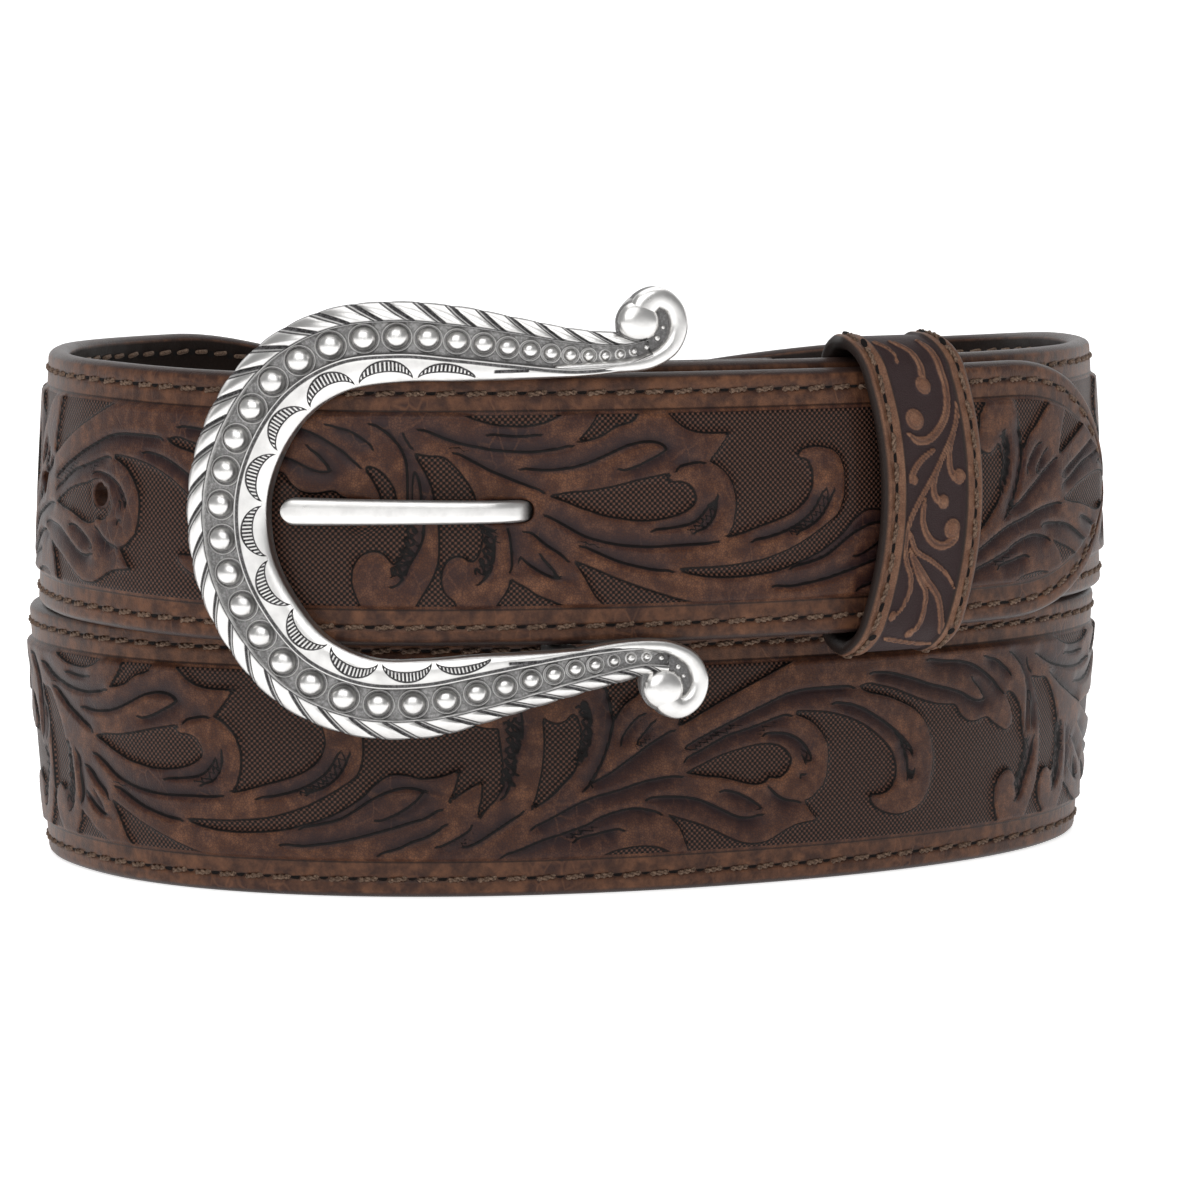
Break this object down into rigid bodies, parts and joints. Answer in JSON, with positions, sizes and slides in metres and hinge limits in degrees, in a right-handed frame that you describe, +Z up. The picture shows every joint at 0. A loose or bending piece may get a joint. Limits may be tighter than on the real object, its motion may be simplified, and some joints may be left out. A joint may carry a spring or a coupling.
{
  "type": "western tooled belt",
  "caption": "Tooled leather belt, buckled and wound into a two-turn coil on its edge, with a beaded horseshoe buckle and a keeper loop.",
  "frame": {"origin": "under the middle of the coil, on the surface that the belt's lower edge stands on", "axes": "+Z up across the strap's width, -Y towards the buckle, +X along the coil's front to the wearer's side of the tip"},
  "size_m": [0.1652, 0.1606, 0.087],
  "materials": {
    "tooled_leather": "tooled, antiqued and waxed",
    "keeper_leather": "tooled, antiqued and waxed",
    "antique_silver": "polished cast silver with dark recesses",
    "plain_snap": "plain"
  },
  "bodies": {
    "root": {"strap": "tooled_leather", "buckle_frame": "antique_silver", "tongue": "antique_silver", "keeper_loop": "keeper_leather", "fold_post": "plain_snap"}
  },
  "joints": []
}
